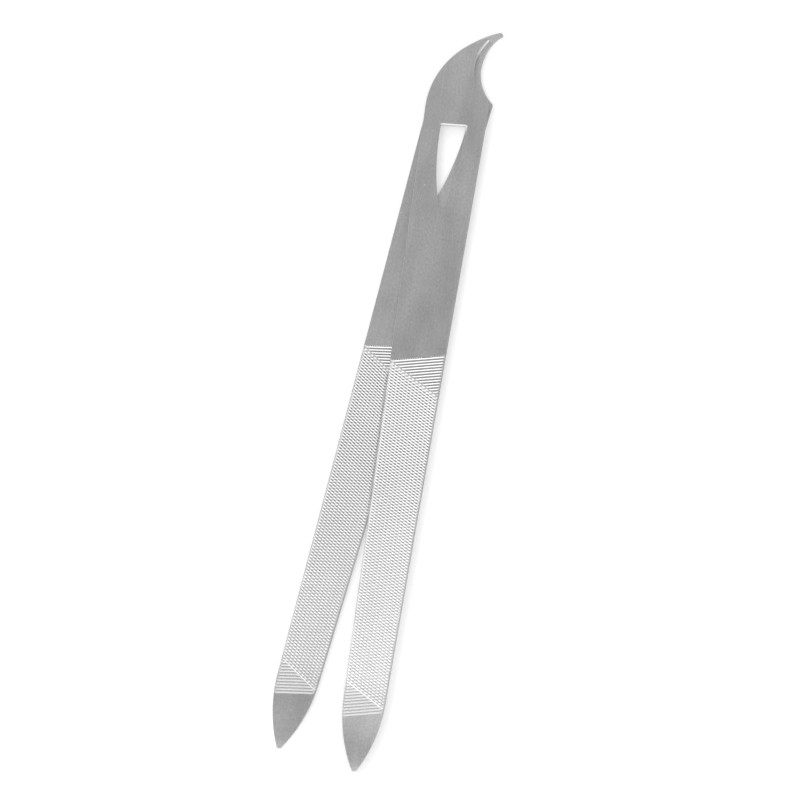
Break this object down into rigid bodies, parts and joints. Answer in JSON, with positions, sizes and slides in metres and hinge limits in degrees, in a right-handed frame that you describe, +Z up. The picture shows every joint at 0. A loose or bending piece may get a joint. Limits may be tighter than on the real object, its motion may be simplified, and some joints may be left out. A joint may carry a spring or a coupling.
{
  "type": "pair of hooked nail files",
  "caption": "Flat steel files with pointed double-cut blades, an opening and a hooked head, stacked face to face and fanned about the head.",
  "frame": {"origin": "on the rear leaf's underside and centre line, level with the centre of the hook's round back, between the opening and the hook", "axes": "+Y along the rear leaf's centre line from the blade towards the hook, +X towards the notch's side, +Z up through the leaves"},
  "size_m": [0.0289, 0.1811, 0.002],
  "materials": {
    "rear_steel": "fine lengthwise brushing, bright cut teeth",
    "front_steel": "fine lengthwise brushing, bright cut teeth"
  },
  "bodies": {
    "rear": {"rear_leaf": "rear_steel"},
    "front": {"front_leaf": "front_steel"}
  },
  "joints": [
    {"name": "leaf_fan", "type": "hinge", "parent": "rear", "child": "front", "pos_m": [0.01575, -0.00395, 0.00103], "axis": [0, 0, 1], "range_deg": [-6.5, 23.5]}
  ]
}
